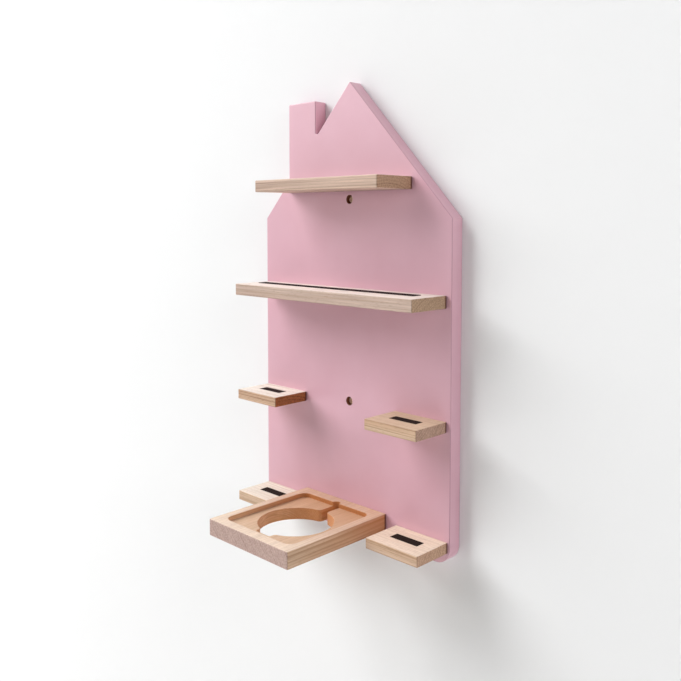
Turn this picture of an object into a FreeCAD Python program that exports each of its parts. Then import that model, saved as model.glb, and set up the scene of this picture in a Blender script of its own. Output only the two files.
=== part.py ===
import FreeCAD, Part
import math
import os
from collections import namedtuple

# Floating wall shelf: a painted house-shaped board that carries wooden shelves, ledges and a dock tray.
# All lengths are millimetres. X runs along the wall, Z is up, and the wall is the plane Y = 0.
# The board's front faces -Y. The origin is midway between the two wall screws, on the wall.

# House board. The chimney stands on the left half of the roof.
board_width = 300.0
board_thickness = 18.0
wall_height = 375.0
roof_rise = 159.0
bottom_corner_radius = 19.0
point_radius = 1.5
board_edge_ease = 1.0
chimney_left_inset = 44.0
chimney_width = 48.0
chimney_above_eaves = 142.0
router_radius = 3.0

# Wide shelves. Insets are from the board's side, or from the roof's slope at the shelf's top.
shelf_thickness = 14.0
shelf_depth = 58.0
top_shelf_above_eaves = 45.5
top_shelf_end_inset = 7.5
top_shelf_offset = -4.0
long_shelf_height = 293.0
long_shelf_end_inset = 6.5

# Small ledges, in pairs. Heights are of the top face above the board's bottom edge. One stands further in.
ledge_depth = 52.0
ledge_thickness = 12.0
ledge_end_inset = 2.5
mid_ledge_height = 157.5
mid_right_ledge_offset = -2.5
bottom_ledge_height = 26.0

# Dock tray. It stands between the bottom ledges, close to the left one.
tray_width = 133.0
tray_depth = 152.5
tray_thickness = 19.0
tray_height = 35.0
tray_left_gap = 1.0
tray_right_gap = 15.0
tray_side_rim = 11.5
tray_back_rim = 15.5
tray_front_rim = 13.5
recess_depth = 5.0
recess_corner_radius = 10.0
dock_radius = 43.5
dock_forward = 3.0
cable_slot_width = 10.0
cable_slot_into_rim = 5.0
cable_slot_blend = 5.0
finger_notch_width = 24.0
finger_notch_reach = 6.0
finger_notch_blend = 4.0
finger_notch_corner = 2.5

# Eased wood edges, the room round what is let into the wood, and how far every cut overruns a face
wood_edge_ease = 0.8
fit_clearance = 0.1
overrun = 1.0

# Magnet strips, let in flush with the tops
strip_width = 12.7
strip_thickness = 2.0
strip_setback = 18.5
ledge_strip_length = 38.1
top_strip_end_inset = 12.5
long_strip_end_inset = 16.5
long_strip_offset = -3.5

# Wall screws: pan heads in counterbores from the front, smooth shanks in the board, threads behind it
wall_screw_above_eaves = 22.0
wall_screw_spacing = 240.0
wall_screw_head_radius = 4.4
wall_screw_head_height = 3.0
wall_screw_head_ease = 0.9
wall_screw_shank_radius = 1.8
wall_screw_thread_radius = 2.5
wall_screw_into_wall = 38.0
wall_screw_tip_length = 5.0
counterbore_radius = 5.0
counterbore_depth = 6.0
wall_hole_radius = 2.8

# Countersunk screws, driven from behind into the wide shelves and the tray
shelf_screw_head_radius = 3.5
shelf_screw_head_height = 2.2
shelf_screw_radius = 1.75
shelf_screw_length = 40.0
shelf_screw_end_inset = 16.0
tray_screw_head_radius = 4.4
tray_screw_head_height = 2.7
tray_screw_radius = 2.25
tray_screw_length = 50.0
tray_screw_spacing = 96.0
screw_head_sink = 0.4

# Cross recess of a wall screw's head, as shares of the head's diameter and height
cross_span_share = 0.55
cross_blade_share = 0.14
cross_depth_share = 0.6

# Glued dowels: two in each ledge, and two that help the screws to carry the tray
ledge_dowel_radius = 3.0
ledge_dowel_length = 36.0
ledge_dowel_in_board = 11.0
ledge_dowel_end_inset = 16.0
tray_dowel_radius = 4.0
tray_dowel_length = 40.0
tray_dowel_in_board = 12.0
tray_dowel_spacing = 56.0

# Places worked out from the sizes above
half_board = board_width / 2
board_front = -board_thickness
eaves_z = wall_screw_spacing / 2 - wall_screw_above_eaves
bottom_z = eaves_z - wall_height
ledge_width = half_board - ledge_end_inset - (tray_width + tray_left_gap + tray_right_gap) / 2
ledge_middle = half_board - ledge_end_inset - ledge_width / 2
tray_middle = -half_board + ledge_end_inset + ledge_width + tray_left_gap + tray_width / 2
tray_top = bottom_z + tray_height
tray_fixing_z = tray_top - (recess_depth + tray_thickness) / 2
recess_back = board_front - tray_back_rim
recess_front = board_front - tray_depth + tray_front_rim
dock_centre_y = (recess_back + recess_front) / 2 - dock_forward

FORWARD = FreeCAD.Vector(0, -1, 0)
BACKWARD = FreeCAD.Vector(0, 1, 0)
UP = FreeCAD.Vector(0, 0, 1)
FULL_TURN = 360

Screw = namedtuple("Screw", "head_radius head_height radius length")
shelf_screw = Screw(shelf_screw_head_radius, shelf_screw_head_height, shelf_screw_radius, shelf_screw_length)
tray_screw = Screw(tray_screw_head_radius, tray_screw_head_height, tray_screw_radius, tray_screw_length)

Dowel = namedtuple("Dowel", "radius length in_board")
ledge_dowel = Dowel(ledge_dowel_radius, ledge_dowel_length, ledge_dowel_in_board)
tray_dowel = Dowel(tray_dowel_radius, tray_dowel_length, tray_dowel_in_board)

Shelf = namedtuple("Shelf", "name width depth thickness middle top strip_length strip_middle")


def vector(x, y, z):
    return FreeCAD.Vector(x, y, z)


def line(start, end):
    return Part.LineSegment(start, end).toShape()


def arc(start, middle, end):
    return Part.Arc(start, middle, end).toShape()


def face_inside(edges):
    return Part.Face(Part.Wire(Part.__sortEdges__(edges)))


def rounded_face(corners):
    """Flat face from (point, radius) corners in order, with a tangent arc of that radius at each corner."""
    arcs = []
    for index, (corner, radius) in enumerate(corners):
        to_last = (corners[index - 1][0] - corner).normalize()
        to_next = (corners[(index + 1) % len(corners)][0] - corner).normalize()
        half_angle = to_last.getAngle(to_next) / 2
        tangent = radius / math.tan(half_angle)
        inward = (to_last + to_next).normalize()
        middle = corner + inward * (radius / math.sin(half_angle) - radius)
        arcs.append((corner + to_last * tangent, middle, corner + to_next * tangent))
    edges = [arc(*points) for points in arcs]
    for index, points in enumerate(arcs):
        edges.append(line(arcs[index - 1][2], points[0]))
    return face_inside(edges)


def turned(profile, at, direction):
    """Solid of revolution from (radius, distance) points, about the line from a point in a direction."""
    points = [vector(radius, 0, distance) for radius, distance in profile]
    solid = Part.Face(Part.makePolygon(points + points[:1])).revolve(vector(0, 0, 0), UP, FULL_TURN)
    solid.Placement = FreeCAD.Placement(at, FreeCAD.Rotation(UP, direction))
    return solid


def pair(span):
    """Two places about zero, a span apart."""
    return -span / 2, span / 2


def eased_block(width, depth, thickness, middle, top):
    """Wooden block against the board's front, with every edge eased but the square ones at the board."""
    corner = vector(middle - width / 2, board_front - depth, top - thickness)
    block = Part.makeBox(width, depth, thickness, corner)
    free_edges = [edge for edge in block.Edges if edge.BoundBox.YMin < board_front - wood_edge_ease]
    return block.makeChamfer(wood_edge_ease, free_edges)


def cross_recess(head_radius, head_height, at, direction):
    """Cutter for the driver's cross in a screw head, inwards from the middle of its face."""
    span = 2 * head_radius * cross_span_share
    blade = 2 * head_radius * cross_blade_share
    depth = head_height * cross_depth_share + overrun
    across = Part.makeBox(span, blade, depth, vector(-span / 2, -blade / 2, -overrun))
    along = Part.makeBox(blade, span, depth, vector(-blade / 2, -span / 2, -overrun))
    cutter = across.fuse(along)
    cutter.Placement = FreeCAD.Placement(at, FreeCAD.Rotation(UP, direction))
    return cutter


def countersunk_screw(screw, x, z):
    """Wood screw from behind, with its head just under the board's back."""
    at = vector(x, -screw_head_sink, z)
    profile = [(0, 0), (screw.head_radius, 0), (screw.radius, screw.head_height),
               (screw.radius, screw.length), (0, screw.length)]
    return turned(profile, at, FORWARD)


def screw_hole(screw, x, z):
    """Cutter that leaves the fit clearance all round a countersunk screw, with its cone open to the back."""
    at = vector(x, -screw_head_sink, z)
    narrow = screw.radius + fit_clearance
    slope = (screw.head_radius - screw.radius) / screw.head_height
    mouth = -screw_head_sink - overrun
    wide = screw.head_radius + fit_clearance - slope * mouth
    end = screw.length + fit_clearance
    profile = [(0, mouth), (wide, mouth), (narrow, screw.head_height), (narrow, end), (0, end)]
    return turned(profile, at, FORWARD)


def dowel_pin(dowel, room, x, z):
    """Dowel, partly in the board and partly in the wood, or the cutter for it with some room all round."""
    start = vector(x, board_front + dowel.in_board + room, z)
    return Part.makeCylinder(dowel.radius + room, dowel.length + 2 * room, start, FORWARD)


def wall_screw(z):
    """Pan-head screw at the bottom of its counterbore; its thread stands out of the board's back."""
    seat = vector(0, board_front + counterbore_depth, z)
    head_face = seat + FORWARD * wall_screw_head_height
    crown = -wall_screw_head_height
    crown_radius = wall_screw_head_radius - wall_screw_head_ease
    shank_end = board_thickness - counterbore_depth
    thread_end = shank_end + wall_screw_into_wall
    profile = [(0, crown), (crown_radius, crown),
               (wall_screw_head_radius, crown + wall_screw_head_ease), (wall_screw_head_radius, 0),
               (wall_screw_shank_radius, 0), (wall_screw_shank_radius, shank_end),
               (wall_screw_thread_radius, shank_end), (wall_screw_thread_radius, thread_end),
               (0, thread_end + wall_screw_tip_length)]
    cross = cross_recess(wall_screw_head_radius, wall_screw_head_height, head_face, BACKWARD)
    return turned(profile, seat, BACKWARD).cut(cross)


def wall_screw_hole(z):
    """Cutter for a counterbore from the front and the clearance hole behind it."""
    start = vector(0, board_front - overrun, z)
    counterbore = Part.makeCylinder(counterbore_radius, counterbore_depth + overrun, start, BACKWARD)
    hole = Part.makeCylinder(wall_hole_radius, board_thickness + 2 * overrun, start, BACKWARD)
    return counterbore.fuse(hole)


def roof_z(x):
    """Height of the roof's slope at a place along the wall."""
    return eaves_z + roof_rise * (1 - abs(x) / half_board)


def roof_half_width(above_eaves):
    return half_board * (1 - above_eaves / roof_rise)


def house_blank():
    """House outline cut from a panel: gable, chimney with router-rounded feet, rounded bottom corners."""
    chimney_left = -half_board + chimney_left_inset
    chimney_right = chimney_left + chimney_width
    chimney_top = eaves_z + chimney_above_eaves
    outline = [
        (-half_board, bottom_z, bottom_corner_radius),
        (half_board, bottom_z, bottom_corner_radius),
        (half_board, eaves_z, point_radius),
        (0, eaves_z + roof_rise, point_radius),
        (chimney_right, roof_z(chimney_right), router_radius),
        (chimney_right, chimney_top, point_radius),
        (chimney_left, chimney_top, point_radius),
        (chimney_left, roof_z(chimney_left), router_radius),
        (-half_board, eaves_z, point_radius),
    ]
    panel = rounded_face([(vector(x, 0, z), radius) for x, z, radius in outline])
    blank = panel.extrude(FORWARD * board_thickness)
    front_rim = [edge for edge in blank.Edges if edge.BoundBox.YMax < board_front + board_edge_ease]
    return blank.makeChamfer(board_edge_ease, front_rim)


def strip_block(shelf, room):
    """Magnet strip of a shelf, flush with its top, with some room added at its sides."""
    length = shelf.strip_length + 2 * room
    width = strip_width + 2 * room
    corner = vector(shelf.strip_middle - length / 2, board_front - strip_setback + room - width,
                    shelf.top - strip_thickness)
    return Part.makeBox(length, width, strip_thickness, corner)


def strip_groove(shelf):
    """Cutter for a magnet strip's groove, open to the shelf's top."""
    groove = strip_block(shelf, fit_clearance)
    box = groove.BoundBox
    return Part.makeBox(box.XLength, box.YLength, box.ZLength + overrun, vector(box.XMin, box.YMin, box.ZMin))


def shelf_places(shelf, end_inset):
    """Places of a shelf's two screws or dowels, halfway up the wood that is left under its magnet strip."""
    height = shelf.top - (strip_thickness + shelf.thickness) / 2
    return [(shelf.middle + x, height) for x in pair(shelf.width - 2 * end_inset)]


def tray_places(spacing):
    """Places of the tray's two screws or dowels, halfway up what is left under its recess."""
    return [(tray_middle + x, tray_fixing_z) for x in pair(spacing)]


def recess_pocket():
    """Cutter for the tray's shallow recess with rounded corners."""
    half_width = tray_width / 2 - tray_side_rim
    floor = tray_top - recess_depth
    corners = [(vector(tray_middle + side * half_width, y, floor), recess_corner_radius)
               for side, y in ((-1, recess_front), (1, recess_front), (1, recess_back), (-1, recess_back))]
    return rounded_face(corners).extrude(UP * (recess_depth + overrun))


def wall_blend(offset, blend, way):
    """Arc that eases the corner between the round opening and a straight wall beside it.

    The arc's centre lies outside the opening, a blend radius from both the circle and the wall. Returns
    the arc's end on the circle, its middle and its end on the wall, for the half with positive places.
    """
    reach = math.sqrt((dock_radius + blend) ** 2 - (offset + blend) ** 2)
    centre = vector(offset + blend, way * reach, 0)
    on_circle = centre * (dock_radius / (dock_radius + blend))
    on_wall = vector(offset, way * reach, 0)
    middle = centre + (on_circle + on_wall - centre * 2).normalize() * blend
    return on_circle, middle, on_wall


def dock_opening():
    """Cutter for the round opening with its cable slot at the back and its finger notch in front."""
    slot_half = cable_slot_width / 2
    slot_end = recess_back + cable_slot_into_rim - dock_centre_y
    notch_half = finger_notch_width / 2
    notch_end = -dock_radius - finger_notch_reach
    back_circle, back_middle, slot_start = wall_blend(slot_half, cable_slot_blend, 1)
    front_circle, front_middle, notch_start = wall_blend(notch_half, finger_notch_blend, -1)
    slot_stop = vector(slot_half, slot_end - slot_half, 0)
    notch_stop = vector(notch_half, notch_end + finger_notch_corner, 0)
    notch_turn = vector(notch_half - finger_notch_corner, notch_end, 0)
    turn_centre = vector(notch_turn.x, notch_stop.y, 0)
    turn_middle = turn_centre + (notch_stop + notch_turn - turn_centre * 2).normalize() * finger_notch_corner
    below_tray = tray_top - tray_thickness - overrun
    rightmost = vector(dock_radius, 0, 0)

    def placed(side, point):
        return vector(tray_middle + side * point.x, dock_centre_y + point.y, below_tray)

    edges = [
        arc(placed(-1, slot_stop), placed(1, vector(0, slot_end, 0)), placed(1, slot_stop)),
        line(placed(-1, notch_turn), placed(1, notch_turn)),
    ]
    for side in (-1, 1):
        edges += [
            line(placed(side, slot_stop), placed(side, slot_start)),
            arc(placed(side, slot_start), placed(side, back_middle), placed(side, back_circle)),
            arc(placed(side, back_circle), placed(side, rightmost), placed(side, front_circle)),
            arc(placed(side, front_circle), placed(side, front_middle), placed(side, notch_start)),
            line(placed(side, notch_start), placed(side, notch_stop)),
            arc(placed(side, notch_stop), placed(side, turn_middle), placed(side, notch_turn)),
        ]
    return face_inside(edges).extrude(UP * (tray_thickness + 2 * overrun))


def wide_shelves():
    """The shelf under the roof and the long one below it."""
    top_width = 2 * (roof_half_width(top_shelf_above_eaves) - top_shelf_end_inset)
    long_width = board_width - 2 * long_shelf_end_inset
    top = Shelf("top_shelf", top_width, shelf_depth, shelf_thickness, top_shelf_offset,
                eaves_z + top_shelf_above_eaves, top_width - 2 * top_strip_end_inset, top_shelf_offset)
    long = Shelf("long_shelf", long_width, shelf_depth, shelf_thickness, 0,
                 bottom_z + long_shelf_height, long_width - 2 * long_strip_end_inset, long_strip_offset)
    return [top, long]


def small_ledges():
    """The two pairs of ledges at the board's sides."""
    ledges = []
    places = [
        ("mid_left_ledge", -ledge_middle, mid_ledge_height),
        ("mid_right_ledge", ledge_middle + mid_right_ledge_offset, mid_ledge_height),
        ("bottom_left_ledge", -ledge_middle, bottom_ledge_height),
        ("bottom_right_ledge", ledge_middle, bottom_ledge_height),
    ]
    for name, middle, height in places:
        ledges.append(Shelf(name, ledge_width, ledge_depth, ledge_thickness, middle, bottom_z + height,
                            ledge_strip_length, middle))
    return ledges


def shelf_block(shelf):
    """A shelf's wood with the groove for its magnet strip."""
    block = eased_block(shelf.width, shelf.depth, shelf.thickness, shelf.middle, shelf.top)
    return block.cut(strip_groove(shelf))


def tray_block():
    block = eased_block(tray_width, tray_depth, tray_thickness, tray_middle, tray_top)
    return block.cut(recess_pocket()).cut(dock_opening())


def drilled(board, wood, holes):
    """The board and a piece of wood on it, both cut by the same holes."""
    for hole in holes:
        board = board.cut(hole)
        wood = wood.cut(hole)
    return board, wood


# The pieces as they go together: shelves and ledges on the board, then the tray, then the wall screws
pieces = {}
board = house_blank()

for shelf in wide_shelves():
    places = shelf_places(shelf, shelf_screw_end_inset)
    holes = [screw_hole(shelf_screw, x, z) for x, z in places]
    screws = [countersunk_screw(shelf_screw, x, z) for x, z in places]
    board, pieces[shelf.name] = drilled(board, shelf_block(shelf), holes)
    pieces[shelf.name + "_magnet_strip"] = strip_block(shelf, 0)
    pieces[shelf.name + "_screws"] = Part.makeCompound(screws)

for ledge in small_ledges():
    places = shelf_places(ledge, ledge_dowel_end_inset)
    holes = [dowel_pin(ledge_dowel, fit_clearance, x, z) for x, z in places]
    dowels = [dowel_pin(ledge_dowel, 0, x, z) for x, z in places]
    board, pieces[ledge.name] = drilled(board, shelf_block(ledge), holes)
    pieces[ledge.name + "_magnet_strip"] = strip_block(ledge, 0)
    pieces[ledge.name + "_dowels"] = Part.makeCompound(dowels)

screw_places = tray_places(tray_screw_spacing)
dowel_places = tray_places(tray_dowel_spacing)
holes = [screw_hole(tray_screw, x, z) for x, z in screw_places]
holes += [dowel_pin(tray_dowel, fit_clearance, x, z) for x, z in dowel_places]
screws = [countersunk_screw(tray_screw, x, z) for x, z in screw_places]
dowels = [dowel_pin(tray_dowel, 0, x, z) for x, z in dowel_places]
board, pieces["dock_tray"] = drilled(board, tray_block(), holes)
pieces["dock_tray_screws"] = Part.makeCompound(screws)
pieces["dock_tray_dowels"] = Part.makeCompound(dowels)

wall_screw_heights = pair(wall_screw_spacing)
for z in wall_screw_heights:
    board = board.cut(wall_screw_hole(z))
pieces["wall_screws"] = Part.makeCompound([wall_screw(z) for z in wall_screw_heights])
pieces["house_board"] = board

os.makedirs("parts", exist_ok=True)
for name, shape in pieces.items():
    shape.exportStep("parts/" + name + ".step")
    print(name, "solids", len(shape.Solids), "volume", round(shape.Volume), "valid", shape.isValid())
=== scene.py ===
import math
from collections import namedtuple
import bmesh
import bpy
import numpy as np
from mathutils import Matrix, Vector
from mathutils.geometry import tessellate_polygon


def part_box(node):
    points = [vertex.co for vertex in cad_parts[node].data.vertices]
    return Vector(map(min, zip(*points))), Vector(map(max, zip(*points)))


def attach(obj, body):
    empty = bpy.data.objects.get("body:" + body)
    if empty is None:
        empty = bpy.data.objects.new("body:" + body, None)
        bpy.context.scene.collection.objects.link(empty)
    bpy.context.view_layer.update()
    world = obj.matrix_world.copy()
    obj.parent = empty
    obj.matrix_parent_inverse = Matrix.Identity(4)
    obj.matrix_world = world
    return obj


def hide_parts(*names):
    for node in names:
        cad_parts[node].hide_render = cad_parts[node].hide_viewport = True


# Floating wall shelf: a painted house-shaped board with beech shelves, ledges and a dock tray. Each piece
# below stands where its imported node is, in the same frame: X along the wall, Z up, the wall at Y = 0.
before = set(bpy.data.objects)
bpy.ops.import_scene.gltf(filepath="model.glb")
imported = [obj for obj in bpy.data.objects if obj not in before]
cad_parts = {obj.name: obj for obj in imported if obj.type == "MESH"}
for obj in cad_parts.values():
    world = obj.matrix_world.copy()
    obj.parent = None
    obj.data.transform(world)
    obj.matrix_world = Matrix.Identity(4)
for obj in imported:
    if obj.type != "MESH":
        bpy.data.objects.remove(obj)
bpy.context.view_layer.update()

# Viewpoint of the photograph: a camera to the right of the shelf that looks a little down at it. The square
# picture is a part of a taller one, so its optical centre lies above its middle. The place is in metres,
# the turn in radians, and film and lens are in millimetres.
film_width = 36.0
lens_length = 42.7515
picture_shift_share = -0.10086
camera_place = (0.66272, -0.70385, 0.09681)
camera_turn = (1.50572, 0, 0.77932)
viewpoint = bpy.data.cameras.new("viewpoint")
viewpoint.sensor_width = film_width
viewpoint.lens = lens_length
viewpoint.shift_y = picture_shift_share
camera = bpy.data.objects.new("viewpoint", viewpoint)
camera.location = camera_place
camera.rotation_euler = camera_turn
bpy.context.scene.collection.objects.link(camera)
bpy.context.scene.camera = camera

# House board: one panel of medium-density fibreboard, cut to a house's outline with a router, sanded round
# along its edges and sprayed with satin paint. Its drilled holes stay raw brown board inside.
MM = 0.001
FULL_TURN = 2 * math.pi
Y_AXIS = 1
Z_AXIS = 2
eaves_z = 98.0
roof_rise = 159.0
bottom_corner_round = 19.0
point_round = 1.6
chimney_left = -106.0
chimney_right = -58.0
chimney_top_z = 240.0
router_round = 3.0
front_edge_round = 1.1
back_edge_round = 1.2
hole_edge_round = 0.3
counterbore_radius = 5.0
counterbore_depth = 6.0
wall_hole_radius = 2.8
fixing_clearance = 0.1
shading_margin = 0.25
weld_distance = 0.002
sharp_angle = math.radians(32)
edge_steps = 5
edge_row_count = edge_steps + 3
corner_steps = 10
bore_steps = 40
BackScrew = namedtuple("BackScrew", "radius countersink")
shelf_screw = BackScrew(radius=1.75, countersink=2.6)
tray_screw = BackScrew(radius=2.25, countersink=3.1)
back_screws = {
    "top_shelf_screws": shelf_screw,
    "long_shelf_screws": shelf_screw,
    "dock_tray_screws": tray_screw,
}
ledge_names = [level + "_" + side + "_ledge" for level in ("mid", "bottom") for side in ("left", "right")]
dowel_nodes = [name + "_dowels" for name in ledge_names + ["dock_tray"]]


def node_box(node):
    """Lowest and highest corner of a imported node, in millimetres."""
    return np.array([tuple(corner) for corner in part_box(node)]) / MM


def fixing_places(node):
    """Radius, axes as (x, z) places, and reach in Y of a node's two fixings, which lie side by side."""
    low, high = node_box(node)
    radius = (high[2] - low[2]) / 2
    middle = (high[2] + low[2]) / 2
    return radius, [(low[0] + radius, middle), (high[0] - radius, middle)], (low[1], high[1])


def rounded_outline(corners):
    """Closed outline with a round at each (x, y, radius) corner, as points and their outward normals.

    The corners run anticlockwise. The normal turns evenly from one side's to the next, and each point is the
    round's centre plus the radius times that normal, or minus it at an inward corner. One more point on
    each side of a round keeps the shading of the straight sides flat.
    """
    place = np.array([corner[:2] for corner in corners])
    radius = np.array([corner[2] for corner in corners])
    leave = np.roll(place, -1, axis=0) - place
    leave /= np.linalg.norm(leave, axis=1, keepdims=True)
    arrive = np.roll(leave, 1, axis=0)
    start = np.arctan2(-arrive[:, 0], arrive[:, 1])
    sine = arrive[:, 0] * leave[:, 1] - arrive[:, 1] * leave[:, 0]
    turn = np.arctan2(sine, (arrive * leave).sum(axis=1))
    way = np.sign(turn)
    half = start + turn / 2
    bisector = np.stack([np.cos(half), np.sin(half)], axis=1)
    centre = place - (way * radius / np.cos(turn / 2))[:, None] * bisector
    angle = start[:, None] + turn[:, None] * np.linspace(0, 1, corner_steps + 1)
    normals = np.stack([np.cos(angle), np.sin(angle)], axis=2)
    points = centre[:, None] + (way * radius)[:, None, None] * normals
    before = points[:, :1] - shading_margin * arrive[:, None]
    after = points[:, -1:] + shading_margin * leave[:, None]
    points = np.concatenate([before, points, after], axis=1)
    normals = np.concatenate([normals[:, :1], normals, normals[:, -1:]], axis=1)
    return points.reshape(-1, 2), normals.reshape(-1, 2)


def edge_section(low, high, low_round, high_round):
    """Section over an edge from a low face to a high one, as (inset, height) rows.

    Each end is a quarter round: round * (1 - sin t) in from the side and round * (1 - cos t) from the face.
    A narrow flat before and after each quarter keeps the shading of the faces flat.
    """
    angle = np.linspace(0, FULL_TURN / 4, edge_steps + 1)
    inset = np.concatenate([[1], 1 - np.sin(angle), [0]])
    height = np.concatenate([[0], 1 - np.cos(angle), [1]])
    flat_in = np.zeros(edge_row_count)
    flat_in[0] = shading_margin
    flat_along = flat_in[::-1]
    way = np.sign(high - low)
    low_heights = low + way * (low_round * height + flat_along)
    high_heights = high - way * (high_round * height + flat_along)
    first = np.stack([low_round * inset + flat_in, low_heights], axis=1)
    last = np.stack([high_round * inset + flat_in, high_heights], axis=1)
    return np.concatenate([first, last[::-1]])


def edge_rows(outline, section, height_axis):
    """Rows of points over a panel's edge: its outline, moved in along its normals, at each height."""
    points, normals = outline
    flat = points - section[:, :1, None] * normals
    height = np.broadcast_to(section[:, 1:], flat.shape[:2])
    columns = [flat[..., 0], flat[..., 1]]
    columns.insert(height_axis, height)
    return np.stack(columns, axis=2)


def round_rows(place, profile):
    """Circles about a line along Y, one for each (radius, y) step of a profile."""
    angle = np.arange(bore_steps) * FULL_TURN / bore_steps
    profile = np.array(profile)
    x = place[0] + profile[:, :1] * np.cos(angle)
    z = place[1] + profile[:, :1] * np.sin(angle)
    y = np.broadcast_to(profile[:, 1:], x.shape)
    return np.stack([x, y, z], axis=2)


def loft(rows):
    """Surface through closed rows of points, with a four-sided face between neighbours of each two rows."""
    levels, count = rows.shape[:2]
    index = np.arange(levels * count).reshape(levels, count)
    beside = np.roll(index, -1, axis=1)
    faces = np.stack([index[:-1], beside[:-1], beside[1:], index[1:]], axis=2)
    return rows.reshape(-1, 3), faces.reshape(-1, 4)


def flat_face(outlines):
    """Flat face in triangles, inside the first outline and outside the others."""
    triangles = tessellate_polygon([[Vector(point) for point in outline] for outline in outlines])
    return np.concatenate(outlines), np.array(triangles)


def make_piece(name, parts, finishes, nodes):
    """Welds parts into one closed piece that rides on the shelf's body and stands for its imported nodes.

    Each part is (points in millimetres, faces, number of its finish).
    """
    starts = np.cumsum([0] + [len(points) for points, faces, finish in parts])
    corners = [(faces + start).tolist() for (points, faces, finish), start in zip(parts, starts)]
    numbers = np.repeat([finish for points, faces, finish in parts], [len(faces) for faces in corners])
    mesh = bpy.data.meshes.new(name)
    mesh.from_pydata(np.concatenate([points for points, faces, finish in parts]) * MM, [], sum(corners, []))
    mesh.polygons.foreach_set("material_index", numbers.astype(np.int32))
    shell = bmesh.new()
    shell.from_mesh(mesh)
    bmesh.ops.remove_doubles(shell, verts=shell.verts, dist=weld_distance * MM)
    bmesh.ops.dissolve_degenerate(shell, edges=shell.edges, dist=weld_distance * MM)
    bmesh.ops.recalc_face_normals(shell, faces=shell.faces)
    shell.to_mesh(mesh)
    shell.free()
    mesh.shade_smooth()
    mesh.set_sharp_from_angle(angle=sharp_angle)
    for finish in finishes:
        mesh.materials.append(finish)
    piece = bpy.data.objects.new(name, mesh)
    bpy.context.scene.collection.objects.link(piece)
    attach(piece, "root")
    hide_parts(*nodes)


def srgb(code):
    """Linear colour of a six-figure hex code, by the sRGB curve: a line near black and a power above it."""
    shares = np.array([int(code[start:start + 2], 16) for start in (1, 3, 5)]) / 255
    linear = np.where(shares <= 0.04045, shares / 12.92, ((shares + 0.055) / 1.055) ** 2.4)
    return (*linear.tolist(), 1)


def add_node(tree, kind, inputs=(), **settings):
    """Adds a shader node with its settings; its inputs, by name or in order, get values or nodes' outputs.

    A MapRange takes a value, the range it comes from and the range it goes to. A Mix of colours takes its
    share at input 0 and the two colours at inputs 6 and 7, and gives the colour at output 2.
    """
    made = tree.nodes.new("ShaderNode" + kind)
    for name, value in settings.items():
        setattr(made, name, value)
    entries = inputs.items() if isinstance(inputs, dict) else enumerate(inputs)
    for name, value in entries:
        if isinstance(value, bpy.types.NodeSocket):
            tree.links.new(value, made.inputs[name])
        else:
            made.inputs[name].default_value = value
    return made


def new_finish(name):
    """A new material with its node tree, its shader, and the place on the piece in millimetres."""
    finish = bpy.data.materials.new(name)
    finish.use_nodes = True
    tree = finish.node_tree
    place = add_node(tree, "TexCoord").outputs["Object"]
    place = add_node(tree, "Mapping", {"Vector": place, "Scale": (1 / MM, 1 / MM, 1 / MM)}).outputs["Vector"]
    return finish, tree, tree.nodes["Principled BSDF"], place


def satin_paint():
    """Sprayed satin acrylic on fibreboard: even pink with faint clouds, a soft gloss and a fine orange peel.

    The colour is a little darker over the rounded edges. The edge is where the normal
    leans: the square of its part along Y, times the rest that the square leaves to one.
    """
    cloud_size = 55.0
    cloud_shares = (0.3, 0.7)
    # The real peel is about 0.5 mm wide; it is drawn coarser so that it shows.
    peel_size = 1.3
    peel_depth = 0.15
    peel_share = 0.12
    edge_shares = (0.03, 0.2)
    edge_tone_share = 0.5
    roughness_range = (0.28, 0.36)
    finish, tree, shader, place = new_finish("satin_pink_paint")
    clouds = {"Vector": place, "Scale": 1 / cloud_size, "Detail": 3.0}
    cloud = add_node(tree, "TexNoise", clouds).outputs["Fac"]
    peels = {"Vector": place, "Scale": 1 / peel_size, "Detail": 2.0}
    peel = add_node(tree, "TexNoise", peels).outputs["Fac"]
    tone = add_node(tree, "MapRange", (cloud, *cloud_shares)).outputs[0]
    colours = {0: tone, 6: srgb("#DDB0BE"), 7: srgb("#D9AAB8")}
    colour = add_node(tree, "Mix", colours, data_type="RGBA").outputs[2]
    normal = add_node(tree, "NewGeometry").outputs["Normal"]
    facing = add_node(tree, "SeparateXYZ", (normal,)).outputs["Y"]
    squared = add_node(tree, "Math", (facing, facing), operation="MULTIPLY").outputs[0]
    rest = add_node(tree, "Math", (1, squared), operation="SUBTRACT").outputs[0]
    edge = add_node(tree, "Math", (squared, rest), operation="MULTIPLY").outputs[0]
    edge = add_node(tree, "MapRange", (edge, *edge_shares, 0, edge_tone_share)).outputs[0]
    colour = add_node(tree, "Mix", {0: edge, 6: colour, 7: srgb("#A87688")}, data_type="RGBA").outputs[2]
    gloss = add_node(tree, "MapRange", (cloud, 0, 1, *roughness_range)).outputs[0]
    relief = add_node(tree, "Bump", {"Height": peel, "Strength": peel_share, "Distance": peel_depth * MM})
    tree.links.new(colour, shader.inputs["Base Color"])
    tree.links.new(gloss, shader.inputs["Roughness"])
    tree.links.new(relief.outputs["Normal"], shader.inputs["Normal"])
    return finish


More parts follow.
